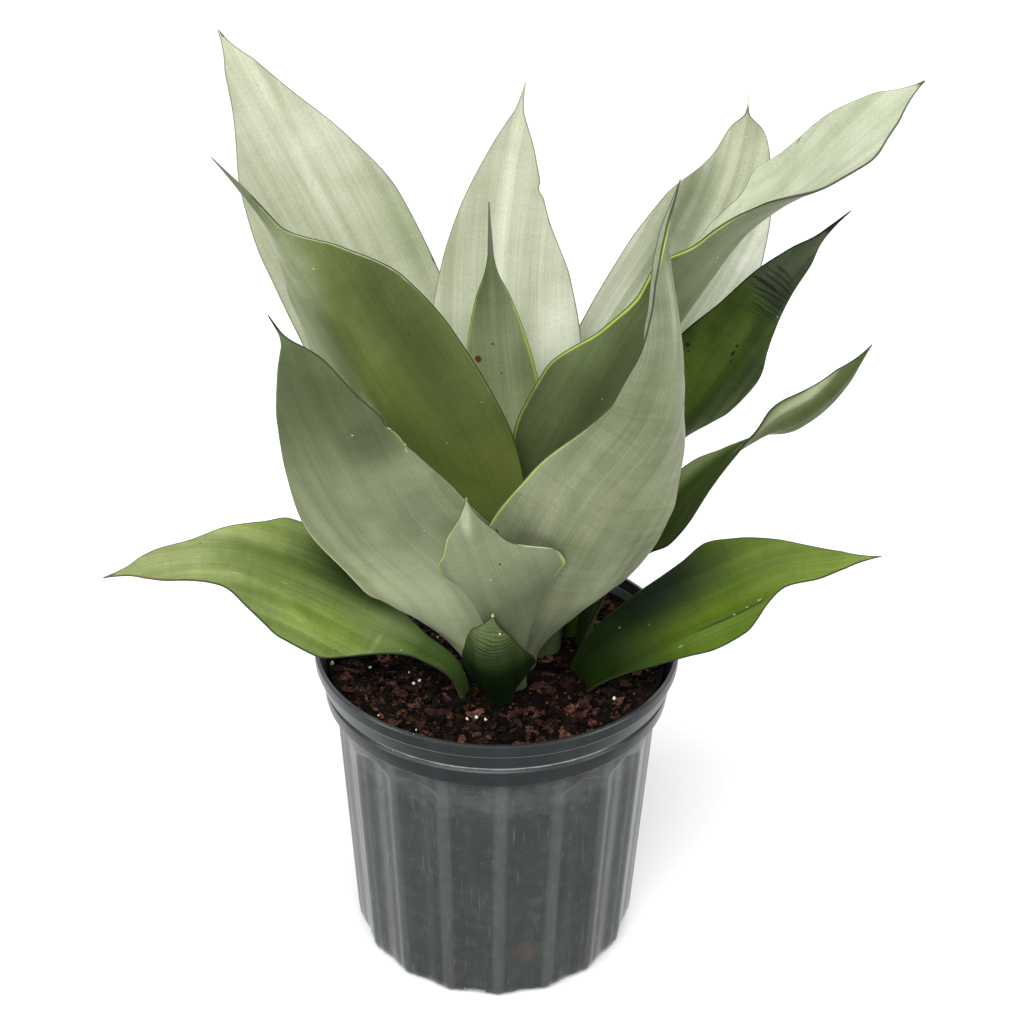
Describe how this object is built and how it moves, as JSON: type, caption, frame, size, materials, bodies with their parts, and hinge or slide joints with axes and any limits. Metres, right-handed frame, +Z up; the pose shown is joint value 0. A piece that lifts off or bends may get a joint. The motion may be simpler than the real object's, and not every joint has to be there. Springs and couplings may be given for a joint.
{
  "type": "potted snake plant",
  "caption": "Upright succulent with broad, pale grey-green channelled leaves in a dark round nursery pot with a banded rim and fluted wall.",
  "frame": {"origin": "centre of the pot's underside, on the surface that the pot stands on", "axes": "+Z up the pot's axis, +X to the plant's right as seen from its front, +Y towards its back"},
  "size_m": [0.3304, 0.168, 0.4115],
  "materials": {
    "pot_plastic": "semi-matte injection-moulded polypropylene, dark grey, dusty and lightly scuffed",
    "potting_mix": "damp bark, peat and perlite, matte",
    "leaf_basal_front": "thick succulent leaf with a waxy, satin skin",
    "leaf_small_front": "thick succulent leaf with a waxy, satin skin",
    "leaf_front_left": "thick succulent leaf with a waxy, satin skin",
    "leaf_front_right": "thick succulent leaf with a waxy, satin skin",
    "leaf_low_left": "thick succulent leaf with a waxy, satin skin",
    "leaf_low_right": "thick succulent leaf with a waxy, satin skin",
    "leaf_mid_left": "thick succulent leaf with a waxy, satin skin",
    "leaf_trough_right": "thick succulent leaf with a waxy, satin skin",
    "leaf_young_centre": "thick succulent leaf with a waxy, satin skin",
    "leaf_twisted_right": "thick succulent leaf with a waxy, satin skin",
    "leaf_dark_right": "thick succulent leaf with a waxy, satin skin",
    "leaf_back_centre": "thick succulent leaf with a waxy, satin skin",
    "leaf_back_right": "thick succulent leaf with a waxy, satin skin",
    "leaf_back_left": "thick succulent leaf with a waxy, satin skin"
  },
  "bodies": {
    "root": {"pot": "pot_plastic", "potting_mix": "potting_mix", "leaf_basal_front": "leaf_basal_front", "leaf_small_front": "leaf_small_front", "leaf_front_left": "leaf_front_left", "leaf_front_right": "leaf_front_right", "leaf_low_left": "leaf_low_left", "leaf_low_right": "leaf_low_right", "leaf_mid_left": "leaf_mid_left", "leaf_trough_right": "leaf_trough_right", "leaf_young_centre": "leaf_young_centre", "leaf_twisted_right": "leaf_twisted_right", "leaf_dark_right": "leaf_dark_right", "leaf_back_centre": "leaf_back_centre", "leaf_back_right": "leaf_back_right", "leaf_back_left": "leaf_back_left"}
  },
  "joints": []
}
